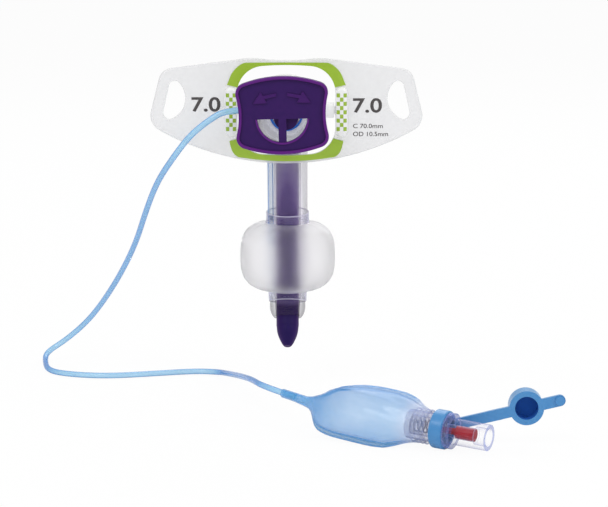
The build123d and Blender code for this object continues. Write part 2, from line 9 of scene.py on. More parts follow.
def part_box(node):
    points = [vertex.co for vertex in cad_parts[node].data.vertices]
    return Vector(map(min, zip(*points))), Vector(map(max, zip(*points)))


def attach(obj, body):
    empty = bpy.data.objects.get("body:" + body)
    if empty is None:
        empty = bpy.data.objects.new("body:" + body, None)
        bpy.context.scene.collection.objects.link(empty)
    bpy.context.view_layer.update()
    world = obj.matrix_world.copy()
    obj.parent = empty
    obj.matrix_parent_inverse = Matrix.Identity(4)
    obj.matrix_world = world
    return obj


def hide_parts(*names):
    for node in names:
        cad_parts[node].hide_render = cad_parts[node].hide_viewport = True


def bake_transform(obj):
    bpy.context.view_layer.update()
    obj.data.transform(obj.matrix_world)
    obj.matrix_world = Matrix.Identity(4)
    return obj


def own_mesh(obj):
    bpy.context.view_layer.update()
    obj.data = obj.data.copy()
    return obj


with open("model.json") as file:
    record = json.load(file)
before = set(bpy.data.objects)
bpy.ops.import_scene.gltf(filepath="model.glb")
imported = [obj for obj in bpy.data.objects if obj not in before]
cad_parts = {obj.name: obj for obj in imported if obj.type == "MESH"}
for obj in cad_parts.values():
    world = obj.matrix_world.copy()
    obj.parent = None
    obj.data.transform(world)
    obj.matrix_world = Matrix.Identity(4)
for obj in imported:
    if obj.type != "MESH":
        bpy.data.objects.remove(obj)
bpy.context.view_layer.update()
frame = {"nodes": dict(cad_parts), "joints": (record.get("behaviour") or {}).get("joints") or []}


# Outer cannula: a tube of clear soft PVC, extruded, bent to the windpipe's curve and ground thin at its tip.
# It is bonded into the connector, and a blue ring on its upper end shows through the finger plate's windows.
class Shade:
    """One value in a node tree. Sums of these add Math nodes, and node() adds any other kind of node."""

    def __init__(self, tree, socket=None):
        self.tree = tree
        self.socket = socket

    def node(self, kind, settings=(), sockets=(), out=0):
        """Adds a node, with its settings set first and then its sockets given values or links."""
        made = self.tree.nodes.new(kind)
        for name, value in dict(settings).items():
            setattr(made, name, value)
        for name, value in dict(sockets).items():
            if isinstance(value, Shade):
                self.tree.links.new(value.socket, made.inputs[name])
            else:
                made.inputs[name].default_value = value
        return Shade(self.tree, made.outputs[out])

    def maths(self, operation, *values):
        return self.node("ShaderNodeMath", {"operation": operation}, enumerate(values))

    def __add__(self, other):
        return self.maths("ADD", self, other)

    def __mul__(self, other):
        return self.maths("MULTIPLY", self, other)

    def __sub__(self, other):
        return self.maths("SUBTRACT", self, other)

    def __rsub__(self, other):
        return self.maths("SUBTRACT", other, self)

    def __truediv__(self, other):
        return self.maths("DIVIDE", self, other)

    def __pow__(self, power):
        return self.maths("POWER", self, power)

    def __lt__(self, limit):
        return self.maths("LESS_THAN", self, limit)

    def __gt__(self, limit):
        return self.maths("GREATER_THAN", self, limit)

    __radd__ = __add__
    __rmul__ = __mul__

    def clamped(self):
        """The value, held between 0 and 1."""
        return self.node("ShaderNodeClamp", (), {0: self})

    def past(self, edge, fade):
        """From 0 at an edge to 1 a fade beyond it, or below it where the fade is negative."""
        return ((self - edge) * (1 / fade)).clamped()

    def facing(self, blend):
        """0 where the surface faces the eye, rising towards 1 at its outline."""
        return self.node("ShaderNodeLayerWeight", (), {"Blend": blend}, out="Facing")

    def noise(self, here, scale, detail=2.0):
        """Soft random cloud over the surface."""
        return self.node("ShaderNodeTexNoise", (), {"Vector": here, "Scale": scale, "Detail": detail})

    def parts(self):
        """The x, y and z of a vector."""
        split = self.node("ShaderNodeSeparateXYZ", (), {0: self})
        return [Shade(self.tree, socket) for socket in split.socket.node.outputs]

    def between(self, low, high):
        """The colour from low at 0 to high at 1."""
        low, high = [end if isinstance(end, Shade) else (*end, 1.0) for end in (low, high)]
        return self.node("ShaderNodeMix", {"data_type": "RGBA"}, {0: self, 6: low, 7: high}, out=2)

    def feed(self, shader, name):
        """Links the value to a shader's input."""
        self.tree.links.new(self.socket, shader.inputs[name])


def plastic(name, colour, roughness, coat=0.0, specular=0.5):
    """A new material, its Principled shader, a Shade to write with and the piece's own coordinates."""
    material = bpy.data.materials.new(name)
    material.use_nodes = True
    shader = material.node_tree.nodes["Principled BSDF"]
    shader.inputs["Base Color"].default_value = (*colour, 1.0)
    shader.inputs["Roughness"].default_value = roughness
    shader.inputs["Specular IOR Level"].default_value = specular
    shader.inputs["Coat Weight"].default_value = coat
    shader.inputs["Coat Roughness"].default_value = 0.06
    ink = Shade(material.node_tree)
    return material, shader, ink, ink.node("ShaderNodeTexCoord", out="Object")


def orange_peel(ink, here, shader, scale, depth):
    """The faint unevenness that every moulded or drawn plastic surface has."""
    waves = ink.noise(here, scale)
    bump = ink.node("ShaderNodeBump", (), {"Strength": 1.0, "Distance": depth, "Height": waves})
    bump.feed(shader, "Normal")
    return waves


def dress(node, material):
    """Puts a material on a piece that keeps its solid's own shape."""
    piece = frame["nodes"][node]
    piece.data.materials.clear()
    piece.data.materials.append(material)
    for face in piece.data.polygons:
        face.material_index = 0
    return piece


tube_end_y = -0.0069
end_ring_radius = 0.0042
strand_side_x = -0.0032
strand_side_fade = 1 / 1500
cuff_top_z = -0.0345
tip_z = -0.0525
height_fade = 0.0025
tube_violet, wall_grey = (0.6, 0.44, 0.92), (0.44, 0.42, 0.5)
strand_side_blue, tip_dark = (0.5, 0.62, 0.8), (0.06, 0.04, 0.1)
end_white, end_blue = (0.86, 0.86, 0.9), (0.03, 0.16, 0.55)
# Painted glow for the tube's end face: it lights the end face inside the dark hub, though nothing there is a
# lamp.
end_white_painted_glow, end_blue_painted_glow = (0.26, 0.26, 0.28), (0.01, 0.05, 0.2)
no_painted_glow = (0.0, 0.0, 0.0)
clear_pvc, shader, ink, here = plastic("clear_pvc", (0.83, 0.84, 0.9), roughness=0.14, specular=0.08)
shader.inputs["Emission Strength"].default_value = 1.0
x, y, z = here.parts()
end_face = y < tube_end_y
end_ring = end_face * ((x * x + z * z) ** 0.5 < end_ring_radius)
rim = ink.facing(blend=0.4)
wall = rim.past(edge=0.17, fade=0.25)
strand_side = x.past(strand_side_x, -strand_side_fade)
above_cuff = z.past(cuff_top_z, height_fade)
tip = z.past(tip_z, -height_fade)
glaze = wall.between(tube_violet, wall_grey)
glaze = strand_side.between(glaze, strand_side_blue)
glaze = tip.between(glaze, tip_dark)
end_tint = end_ring.between(end_white, end_blue)
end_face.between(glaze, end_tint).feed(shader, "Base Color")
# The end face carries a painted glow, so its white and blue read brightly through the windows.
end_painted_glow = end_ring.between(end_white_painted_glow, end_blue_painted_glow)
end_face.between(no_painted_glow, end_painted_glow).feed(shader, "Emission Color")
haze = orange_peel(ink, here, shader, scale=220.0, depth=0.00002)
veil = 0.03 + 0.035 * above_cuff + 0.17 * tip + (0.17 - 0.12 * tip) * wall
(veil + 0.03 * haze + 0.3 * rim ** 2.0 + 0.9 * end_face).feed(shader, "Alpha")
dress("outer_cannula", clear_pvc)


# Strand of the inflation line inside the tube's left wall: light blue PVC tubing, pushed into the wall's own
# small bore and bonded there. Being hollow and clear, it shows mostly as its two blue edges.
wall_strand, shader, ink, here = plastic("wall_strand", (0.03, 0.3, 0.85), roughness=0.2)
strand_low, strand_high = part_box("cuff_line")
strand_x = (strand_low[0] + strand_high[0]) / 2
strand_radius = (strand_high[0] - strand_low[0]) / 2
x = here.parts()[0]
from_axis = ink.maths("ABSOLUTE", x - strand_x) / strand_radius
edge = from_axis.past(edge=0.6, fade=1 / 6)
haze = orange_peel(ink, here, shader, scale=300.0, depth=0.00002)
(0.02 + 0.02 * haze + 0.85 * edge).feed(shader, "Alpha")
dress("cuff_line", wall_strand)


# Cuff: a barrel blown from thin soft PVC film, with a narrow collar at each end that is bonded to the tube.
# The film is milky from the blowing, so the tube inside shows only as a soft shadow.
bend_radius = 0.0425
bend_start = -0.003
barrel_y = 0.0395
barrel_z = -0.0424
barrel_radius = 0.01245
barrel_top = 0.0093
barrel_foot = 0.0094
barrel_power = 3.2
barrel_arc, barrel_step = 64, 4
pucker_height = 0.009
pucker_depth = 0.00007
pucker_waves = ((1.0, 17, 0.6), (0.6, 29, 2.1))
crease_reach = 0.0014
upper_radius = 0.00565
lower_radius = 0.0051
# Each collar's rows: the angle along the bend in degrees, the radius, and the angle of a slanted cut.
upper_collar = [
    (73.5, 0.0054, 11.0), (73.55, 0.0056, 11.0), (73.9, upper_radius, 11.0), (75.6, upper_radius, 12.0),
]
lower_collar = [(104.4, 0.00504), (106.0, 0.00497), (106.25, 0.00493), (106.3, 0.0047)]
film_wall = 0.0002
lip_rows = 2
ring_points = 112
ring_turns = [2 * pi * point / ring_points for point in range(ring_points)]


def bend_ring(angle, radius, cut=0.0):
    """A ring of points round the tube at an angle along its bend, its plane turned on by the cut's angle."""
    bend = radians(angle)
    centre = Vector((0, bend_start + bend_radius * sin(bend), bend_radius * cos(bend) - bend_radius))
    slant = bend + radians(cut)
    across = Vector((1, 0, 0))
    outward = Vector((0, sin(slant), cos(slant))) / cos(radians(cut))
    return [centre + radius * (across * cos(turn) + outward * sin(turn)) for turn in ring_turns]


def crease_ring(height, radius, grow):
    """The level ring where a collar meets the barrel's end, widened by grow towards the barrel."""
    level = barrel_z + height
    along = (level + bend_radius) / bend_radius
    lean = (1 - along * along) ** 0.5
    middle = bend_start + bend_radius * lean
    middle += (barrel_y - middle) * grow / crease_reach
    wide, deep = radius + grow, radius / lean + grow
    return [Vector((wide * cos(turn), middle + deep * sin(turn), level)) for turn in ring_turns]


def barrel_ring(radius, height):
    """A ring of points round the barrel's upright axis, with the film's faint puckers near its ends."""
    pull = min(1.0, abs(height) / pucker_height) ** 6
    ring = []
    for turn in ring_turns:
        wave = sum(share * sin(count * turn + lag) for share, count, lag in pucker_waves)
        pucker = pucker_depth * pull * wave
        reach = radius + pucker
        ring.append(Vector((reach * cos(turn), barrel_y + reach * sin(turn), barrel_z + height + pucker)))
    return ring


def set_out(name, data):
    """A new object for a mesh, a curve, a lamp or a camera, linked to the scene."""
    made = bpy.data.objects.new(name, data)
    bpy.context.scene.collection.objects.link(made)
    return made


def skin(name, rings, body, thickness, closed_ends=False, marks=()):
    """A surface through rings of points, with a wall, as a new piece on a body or on none yet."""
    build = bmesh.new()
    mark = build.verts.layers.float.new("mark")
    rows = [[build.verts.new(point) for point in ring] for ring in rings]
    for row, values in zip(rows, marks):
        for corner, value in zip(row, values):
            corner[mark] = value
    for lower, upper in zip(rows, rows[1:]):
        for this in range(len(lower)):
            after = (this + 1) % len(lower)
            build.faces.new((lower[this], lower[after], upper[after], upper[this]))
    if closed_ends:
        build.faces.new(rows[0])
        build.faces.new(rows[-1])
    bmesh.ops.remove_doubles(build, verts=build.verts, dist=1e-6)
    bmesh.ops.recalc_face_normals(build, faces=build.faces)
    mesh = bpy.data.meshes.new(name)
    build.to_mesh(mesh)
    build.free()
    for face in mesh.polygons:
        face.use_smooth = True
    piece = set_out(name, mesh)
    if thickness:
        wall = piece.modifiers.new("wall", "SOLIDIFY")
        wall.thickness = thickness
        wall.offset = -1.0
    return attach(piece, body) if body else piece


def mix_shaders(ink, share, shader, other):
    """Makes a material's surface a mix of its Principled shader and, by the share given, another shader."""
    mixed = ink.node("ShaderNodeMixShader", (), {0: share, 1: Shade(ink.tree, shader.outputs[0]), 2: other})
    mixed.feed(ink.tree.nodes["Material Output"], "Surface")


upper_rings = [bend_ring(*place) for place in upper_collar]
upper_rings.append(crease_ring(0.0091, upper_radius, 0.0))
barrel_rings = [crease_ring(0.00895, upper_radius, 0.0002), crease_ring(0.0089, upper_radius, 0.0009)]
for degrees in range(barrel_arc, -barrel_arc - 1, -barrel_step):
    level = abs(sin(radians(degrees))) ** (2 / barrel_power)
    height = barrel_top * level if degrees > 0 else -barrel_foot * level
    barrel_rings.append(barrel_ring(barrel_radius * cos(radians(degrees)) ** (2 / barrel_power), height))
barrel_rings += [crease_ring(-0.0091, lower_radius, 0.0012), crease_ring(-0.0092, lower_radius, 0.0002)]
lower_rings = [crease_ring(-0.00935, lower_radius, 0.0)]
lower_rings += [bend_ring(*place) for place in lower_collar]
cuff_rings = upper_rings + barrel_rings + lower_rings
cuff = skin("cuff_film", cuff_rings, "tube", film_wall)
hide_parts("cuff")

milky_film, shader, ink, here = plastic("milky_film", (0.98, 0.975, 0.985), roughness=0.53)
shader.inputs["Transmission Weight"].default_value = 0.98
shader.inputs["IOR"].default_value = 1.2
orange_peel(ink, here, shader, scale=420.0, depth=0.00003)
milk = ink.node("ShaderNodeBsdfDiffuse", (), {"Color": (0.99, 0.985, 0.99, 1.0)})
mix_shaders(ink, 0.3 * ink.facing(blend=0.5) ** 2.0, shader, milk)

clear_collar, shader, ink, here = plastic("clear_collar", (0.74, 0.76, 0.9), roughness=0.12, specular=0.15)
rim = ink.facing(blend=0.45)
haze = orange_peel(ink, here, shader, scale=260.0, depth=0.00001)
rim.between((0.6, 0.55, 0.85), (0.3, 0.33, 0.6)).feed(shader, "Base Color")
(0.02 + 0.03 * haze + 0.5 * rim ** 2.0).feed(shader, "Alpha")

collar_lip, shader, ink, here = plastic("collar_lip", (0.74, 0.72, 0.86), roughness=0.15)
haze = orange_peel(ink, here, shader, scale=900.0, depth=0.00001)
(0.42 + 0.2 * haze).feed(shader, "Alpha")

film_place, collar_place, lip_place = range(3)
for material in (milky_film, clear_collar, collar_lip):
    cuff.data.materials.append(material)
last_row = len(cuff_rings) - 2
barrel_from = len(upper_rings)
barrel_to = len(upper_rings) + len(barrel_rings) - 1
for number, face in enumerate(cuff.data.polygons):
    row = number // ring_points
    if row < lip_rows or row > last_row - lip_rows:
        face.material_index = lip_place
    elif barrel_from <= row < barrel_to:
        face.material_index = film_place
    else:
        face.material_index = collar_place


# Connector hub: the milky white 15 mm connector, moulded in one with its base, the two flange arms and the
# gland that the inflation line leaves by. Light soaks through its wall, and a glow painted inside its bore
# makes its inside brighter still.
hub_bore_radius = 0.006
hub_floor_y = -0.0069
hub_mouth_y = -0.0144
white_hub, shader, ink, here = plastic("white_hub", (0.8, 0.805, 0.81), roughness=0.32, coat=0.2)
shader.inputs["Subsurface Weight"].default_value = 0.9
shader.inputs["Subsurface Radius"].default_value = (0.003, 0.003, 0.003)
shader.inputs["Subsurface Scale"].default_value = 1.0
shader.inputs["Emission Strength"].default_value = 1.0
flow = orange_peel(ink, here, shader, scale=350.0, depth=0.00003)
flow.between((0.83, 0.835, 0.845), (0.9, 0.9, 0.905)).feed(shader, "Base Color")
x, y, z = here.parts()
# Painted glow inside the bore: a faint white emission, though the bore is no lamp.
painted_glow_inside = ((x * x + z * z) ** 0.5 < hub_bore_radius) * (y < hub_floor_y) * (y > hub_mouth_y)
painted_glow_inside.between(no_painted_glow, (0.15, 0.15, 0.162)).feed(shader, "Emission Color")
dress("connector_hub", white_hub)


# Neck flange: frosted clear soft PVC, moulded flat with rounded edges, hung on the hub's two pins.
# Its front carries the printed sizes and a chequered grip on each post.
flange_front = -0.0016
post_x = 0.0135
post_z = 0.0001
post_front = 0.0016
post_step = 0.0001
post_flat = 0.0005
post_round = 0.00095
frosted, shader, ink, here = plastic("frosted_flange", (0.79, 0.79, 0.805), roughness=0.34, coat=0.25)
y = here.parts()[1]
frost = orange_peel(ink, here, shader, scale=700.0, depth=0.000008)
post = y < flange_front - post_step
post.between((0.8, 0.8, 0.815), (0.9, 0.9, 0.9)).feed(shader, "Base Color")
(0.4 + 0.04 * frost + 0.35 * ink.facing(blend=0.3) + 0.5 * post).feed(shader, "Alpha")
dress("neck_flange", frosted)

ink_layer = 0.00002
print_ink, shader, ink, here = plastic("print_ink", (0.05, 0.045, 0.045), roughness=0.55)
patches = ink.noise(here, scale=2500.0, detail=3.0)
patches.between((0.035, 0.03, 0.03), (0.09, 0.08, 0.08)).feed(shader, "Base Color")


def size_print(name, words, width, height, centre_x, centre_z, bold):
    """Words printed on the flange's front, as wide and high as given, in one thin layer of ink."""
    letters = bpy.data.curves.new(name, "FONT")
    letters.body = words
    letters.offset = bold
    letters.resolution_u = 6
    setting = set_out(name + "_setting", letters)
    mesh = bpy.data.meshes.new_from_object(setting.evaluated_get(bpy.context.evaluated_depsgraph_get()))
    bpy.data.objects.remove(setting)
    left, foot = [min(corner.co[axis] for corner in mesh.vertices) for axis in (0, 1)]
    right, head = [max(corner.co[axis] for corner in mesh.vertices) for axis in (0, 1)]
    for corner in mesh.vertices:
        across = (corner.co.x - (left + right) / 2) * width / (right - left)
        up = (corner.co.y - (foot + head) / 2) * height / (head - foot)
        corner.co = (centre_x + across, flange_front - ink_layer, centre_z + up)
    mesh.materials.append(print_ink)
    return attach(set_out(name, mesh), "flange")


size_print("size_right", "7.0", width=0.0071, height=0.00365,
           centre_x=0.01983, centre_z=0.0016, bold=0.02)
size_print("size_left", "7.0", width=0.0071, height=0.00365,
           centre_x=-0.01963, centre_z=0.00185, bold=0.02)
size_print("length_print", "C 70.0mm", width=0.0073, height=0.0011,
           centre_x=0.01995, centre_z=-0.00343, bold=0.012)
size_print("diameter_print", "OD 10.5mm", width=0.0086, height=0.0011,
           centre_x=0.0206, centre_z=-0.0054, bold=0.012)


def shape_tree(name, sizes):
    """A new Geometry Nodes tree, its inputs' keys, a Shade to write with and the named inputs."""
    tree = bpy.data.node_groups.new(name, "GeometryNodeTree")
    tree.interface.new_socket("Geometry", in_out="OUTPUT", socket_type="NodeSocketGeometry")
    keys = {}
    for label, size in sizes.items():
        kind = "NodeSocketInt" if isinstance(size, int) else "NodeSocketFloat"
        keys[label] = tree.interface.new_socket(label, in_out="INPUT", socket_type=kind).identifier
    given = tree.nodes.new("NodeGroupInput")
    return tree, keys, Shade(tree), {label: Shade(tree, given.outputs[label]) for label in sizes}


def close_tree(make, geometry, material):
    """Ends a tree: its instances are made real and given their material."""
    solid = make.node("GeometryNodeRealizeInstances", (), {"Geometry": geometry})
    done = make.node("GeometryNodeSetMaterial", (), {"Geometry": solid, "Material": material})
    done.feed(make.tree.nodes.new("NodeGroupOutput"), 0)


def grow(name, tree, keys, sizes, to_frame, body):
    """The mesh that a tree makes from its named inputs, set in its place as a piece on a body."""
    host = set_out(name + "_host", bpy.data.meshes.new(name + "_host"))
    maker = host.modifiers.new("nodes", "NODES")
    maker.node_group = tree
    for label, size in sizes.items():
        maker[keys[label]] = size
    mesh = bpy.data.meshes.new_from_object(host.evaluated_get(bpy.context.evaluated_depsgraph_get()))
    bpy.data.objects.remove(host)
    mesh.transform(to_frame)
    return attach(set_out(name, mesh), body)


chequer_green, shader, ink, here = plastic("chequer_green", (0.3, 0.47, 0.02), roughness=0.35, coat=0.3)
spots = ink.noise(here, scale=1800.0)
spots.between((0.26, 0.42, 0.015), (0.36, 0.53, 0.04)).feed(shader, "Base Color")

tile_lift = 0.00003
lean_limit = 8.9e-7
grip_sizes = {
    "Rows": 9, "Columns": 3, "Row pitch": 0.00103, "Column pitch": 0.00084,
    "Tile width": 0.00082, "Tile height": 0.00098, "Post place": post_x,
}
chequer, grip_keys, make, want = shape_tree("chequered_grip", grip_sizes)
sites = make.node("GeometryNodeMeshGrid", (), {
    "Size X": (want["Columns"] - 1) * want["Column pitch"], "Size Y": (want["Rows"] - 1) * want["Row pitch"],
    "Vertices X": want["Columns"], "Vertices Y": want["Rows"]})
place_x, place_y = make.node("GeometryNodeInputPosition").parts()[:2]
column = place_x / want["Column pitch"] + (want["Columns"] - 1) / 2
row = place_y / want["Row pitch"] + (want["Rows"] - 1) / 2
kept = make.maths("MODULO", make.maths("ROUND", column + row), 2) < 0.5
tile = make.node("GeometryNodeMeshGrid", (), {
    "Size X": want["Tile width"], "Size Y": want["Tile height"], "Vertices X": 7, "Vertices Y": 2})
tiles = make.node("GeometryNodeInstanceOnPoints", (), {"Points": sites, "Selection": kept, "Instance": tile})
flat = make.node("GeometryNodeRealizeInstances", (), {"Geometry": tiles})
lean = make.maths("MAXIMUM", make.maths("ABSOLUTE", place_x) - post_flat, 0.0)
arch = make.maths("SQRT", post_round * post_round - make.maths("MINIMUM", lean * lean, lean_limit))
lift = make.node("ShaderNodeCombineXYZ", (), {"Z": tile_lift - (post_round - arch)})
patch = make.node("GeometryNodeSetPosition", (), {"Geometry": flat, "Offset": lift})
both = chequer.nodes.new("GeometryNodeJoinGeometry")
for place in (want["Post place"], 0.0 - want["Post place"]):
    side = make.node("ShaderNodeCombineXYZ", (), {"X": place})
    make.node("GeometryNodeTransform", (), {"Geometry": patch, "Translation": side}).feed(both, 0)
close_tree(make, Shade(chequer, both.outputs[0]), chequer_green)
upright = Matrix(((1, 0, 0, 0), (0, 0, -1, flange_front - post_front), (0, 1, 0, post_z), (0, 0, 0, 1)))
grow("post_checks", chequer, grip_keys, grip_sizes, upright, "flange")


# Size bands: two strips of bright green PVC, moulded over the flange's opening above and below the hub.
# Their colour tells the tube's size.
size_green, shader, ink, here = plastic("size_green", (0.305, 0.485, 0.017), roughness=0.3, coat=0.35)
swirl = orange_peel(ink, here, shader, scale=260.0, depth=0.00004)
swirl.between((0.28, 0.45, 0.014), (0.34, 0.53, 0.022)).feed(shader, "Base Color")
dress("upper_size_band", size_green)
dress("lower_size_band", size_green)


# Obturator: dark violet polyethylene, moulded in one: the finger plate with its two arrows and windows, the
# stem through the tube and the blunt nose beyond the tip. It slides along the bend and is drawn out once the
# tube is in.
edge_front_y = -0.01642
lower_edge_y = -0.01615
arrow_front_y = -0.0164
arrow_foot_y = -0.0163
plate_back_y = -0.0145
plate_dark, plate_painted_highlight = (0.026, 0.0075, 0.085), (0.13, 0.016, 0.22)
stem_dark, stem_painted_sheen = (0.014, 0.005, 0.072), (0.052, 0.006, 0.13)
violet, shader, ink, here = plastic("violet", (0.045, 0.0144, 0.127), roughness=0.45, specular=0.14)
y, z = here.parts()[1:]
rim = ink.facing(blend=0.35)
satin = orange_peel(ink, here, shader, scale=700.0, depth=0.000006)
# Painted highlights: the plate's raised rim and the beads under its windows are made lighter as if catching
# the light, and so are the arrows' faces.
raised_painted_highlight = ink.maths("MAXIMUM", y < edge_front_y, (y < lower_edge_y) * (z < 0.0))
painted_arrow_highlight = (y < arrow_foot_y) * (y > arrow_front_y) * (z > 0.0)
# The plate's lightness adds a painted sheen towards its outline and the satin's random tone.
painted_highlight_and_satin = (0.3 * rim + 0.12 * satin + 0.66 * raised_painted_highlight + 0.14 * painted_arrow_highlight).clamped()
stem = y > plate_back_y
plate_tint = painted_highlight_and_satin.between(plate_dark, plate_painted_highlight)
# The stem gets a painted sheen as well, lighter towards its outline.
stem_tint = rim.between(stem_dark, stem_painted_sheen)
stem.between(plate_tint, stem_tint).feed(shader, "Base Color")
(0.36 + 0.16 * satin).feed(shader, "Roughness")
dress("obturator", violet)


# Inflation line: one length of light blue PVC tubing of 1.5 mm, from the gland in the hub to the pilot
# balloon's neck. It is limp, and lies in the loop that it was put down in. The route's points are in mm.
line_route = [
    (-8.6, -6.2, 1.0), (-14.6, -6.2, 1.0), (-19, -6.8, -1.6), (-23.5, -6.6, -5.3),
    (-27.8, -2.8, -11.2), (-32.2, 6, -18.2), (-35.8, 17, -27.2), (-39.2, 30, -37.2),
    (-44, 43.5, -47.4), (-49.8, 56, -57.4), (-55.5, 65.5, -65.4), (-62.0, 70.2, -71.5),
    (-67.2, 68.6, -74.6), (-67.2, 64.2, -76.2), (-65.1, 51.9, -76.2), (-58.5, 47, -76.2),
    (-48, 45, -76.2), (-36, 48.2, -76.2), (-25, 51.4, -76.2), (-18.4, 48.6, -75.9),
    (-15.9, 40, -74.4), (-13.5, 29, -72.4), (-11, 16, -70.1), (-8.7, 4.7, -68.3),
    (-5.6, -8.3, -67.2), (2.2, -12.7, -68.8),
]
line_width = 0.0015
line_pale, line_deep = (0.4, 0.76, 1.0), (0.02, 0.24, 0.7)
path = bpy.data.curves.new("line_path", "CURVE")
path.dimensions = "3D"
run = path.splines.new("NURBS")
run.points.add(len(line_route) - 1)
for point, (x, y, z) in zip(run.points, line_route):
    point.co = (x / 1000, y / 1000, z / 1000, 1.0)
run.order_u = 3
run.use_endpoint_u = True
path.resolution_u = 16
path.bevel_depth = line_width / 2
path.bevel_resolution = 6
path.use_fill_caps = True
line = set_out("pilot_line", path)
line_blue, shader, ink, here = plastic("line_blue", (0.188, 0.485, 0.83), roughness=0.22, coat=0.4)
rim = ink.facing(blend=0.5)
cloud = ink.noise(here, scale=90.0)
(1.5 * rim ** 1.8 + 0.1 * cloud).between(line_pale, line_deep).feed(shader, "Base Color")
(0.6 + 0.36 * rim).feed(shader, "Alpha")
path.materials.append(line_blue)
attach(line, "tube")
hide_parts("inflation_line")


# Pilot balloon: two sheets of thin blue PVC film, welded along both long edges, bonded round the line at one
# end and over the valve's tail at the other. It is soft to the finger when the cuff is full.
balloon_root = Vector((34.3605, -30.6847, -72.0273)) / 1000
balloon_dir = Vector((0.86905, -0.48570, -0.09411))
seam_dir = Vector((-0.40306, -0.58479, -0.70397))
face_dir = seam_dir.cross(balloon_dir)
balloon_wall = 0.00022
# Each row, in mm: distance from the valve, half width down and up, half depth, width of the weld.
balloon_shape = [
    (0.0, 4.0, 4.0, 4.0, 0.0), (1.2, 4.25, 4.2, 4.05, 0.1), (2.6, 4.8, 4.8, 4.15, 0.35),
    (4.0, 5.5, 5.5, 4.3, 0.7), (5.4, 6.25, 6.4, 4.45, 0.95), (6.8, 7.05, 7.0, 4.6, 1.1),
    (8.2, 7.75, 7.4, 4.8, 1.2), (9.6, 8.3, 7.65, 4.95, 1.25), (12.0, 8.55, 7.75, 5.15, 1.3),
    (14.6, 8.6, 7.75, 5.3, 1.3), (17.6, 8.6, 7.6, 5.3, 1.3), (20.6, 8.55, 7.2, 5.15, 1.3),
    (23.0, 8.5, 6.6, 4.75, 1.25), (24.8, 8.3, 6.0, 4.4, 1.2), (26.4, 7.9, 5.4, 4.0, 1.1),
    (27.6, 7.4, 4.7, 3.6, 0.95), (28.7, 6.5, 3.6, 3.15, 0.8), (29.7, 5.2, 2.9, 2.7, 0.6),
    (30.6, 3.8, 2.5, 2.3, 0.4), (31.6, 2.5, 2.05, 1.9, 0.15), (32.6, 1.65, 1.6, 1.5, 0.0),
    (34.0, 1.3, 1.3, 1.28, 0.0), (37.0, 1.13, 1.13, 1.13, 0.0), (40.4, 1.1, 1.1, 1.1, 0.0),
    (40.7, 1.0, 1.0, 1.0, 0.0),
]
least_weld = 0.3
weld_half, film_half = 0.16, 0.19
edge_mark, line_mark = 1.0, 0.5
arc_steps = 36
crease_depth, crease_place, crease_spread = 0.13, 7.5, 5.0
crease_across, crease_along = 1.7, 0.35
sag_depth, sag_place, sag_spread = 0.8, 33.0, 4.2
balloon_rings, balloon_marks = [], []
for along, low, high, deep, weld in balloon_shape:
    welded = weld > least_weld
    section = [(low, weld_half if welded else 0.0, edge_mark)]
    for step in range(arc_steps + 1):
        turn = pi * step / arc_steps
        wide = (low if step < arc_steps / 2 else high) - weld
        rise = max(deep * sin(turn), film_half if welded else 0.0)
        section.append((wide * cos(turn), rise, line_mark if step in (0, arc_steps) else 0.0))
    section.append((-high, weld_half if welded else 0.0, edge_mark))
    sag = Vector((0.0, 0.0, -sag_depth * exp(-((along - sag_place) / sag_spread) ** 2)))
    pucker = crease_depth * exp(-((along - crease_place) / crease_spread) ** 2)
    ring, ring_marks = [], []
    for side, half in ((1, section), (-1, section[::-1])):
        for across, rise, mark in half:
            crease = pucker * sin(crease_across * across + crease_along * along) * min(1.0, rise / 2)
            out = side * (rise + crease)
            shift = seam_dir * across + face_dir * out - balloon_dir * along + sag
            ring.append(balloon_root + shift / 1000)
            ring_marks.append(mark if welded else 0.0)
    balloon_rings.append(ring)
    balloon_marks.append(ring_marks)
balloon = skin("balloon_film", balloon_rings, "tube", balloon_wall, marks=balloon_marks)
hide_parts("pilot_balloon")


def distance_along(here, root, direction):
    """How far the surface lies from a root along a direction, in metres."""
    x, y, z = here.parts()
    return (x - root.x) * direction.x + (y - root.y) * direction.y + (z - root.z) * direction.z


clear_from, clear_to = 0.003, 0.008
neck_from = 0.024
under_drop = 0.0012
balloon_fade = 1 / 110
film_blue, film_deep, film_clear = (0.13, 0.5, 0.88), (0.04, 0.3, 0.76), (0.3, 0.46, 0.85)
blue_film, shader, ink, here = plastic("blue_film", (0.12, 0.42, 0.8), roughness=0.12, coat=0.6)
towards_neck = distance_along(here, balloon_root, -balloon_dir)
clear_end = ink.node("ShaderNodeMapRange", {"interpolation_type": "SMOOTHSTEP"}, {
    "Value": towards_neck, "From Min": clear_from, "From Max": clear_to, "To Min": 1.0, "To Max": 0.0})
neck_end = towards_neck.past(neck_from, balloon_fade)
under = here.parts()[2].past(balloon_root.z - under_drop, -balloon_fade)
rim = ink.facing(blend=0.45)
folds = orange_peel(ink, here, shader, scale=110.0, depth=0.0005)
seam = ink.node("ShaderNodeAttribute", {"attribute_name": "mark"}, out="Fac")
weld_line = (1.0 - ink.maths("ABSOLUTE", seam - line_mark) * 8.0).clamped()
weld_edge = (seam * 6.0 - 5.0).clamped()
seam_line = ink.maths("MAXIMUM", weld_line, weld_edge)
tint = ink.maths("MAXIMUM", rim, seam_line * 0.9).between(film_blue, film_deep)
clear_end.between(tint, film_clear).feed(shader, "Base Color")
thick = 0.15 + 0.12 * folds + 0.38 * rim ** 2.0 + 0.32 * seam_line + 0.22 * neck_end + 0.24 * under
(thick * (1.0 - 0.45 * clear_end)).feed(shader, "Alpha")
balloon.data.materials.append(blue_film)


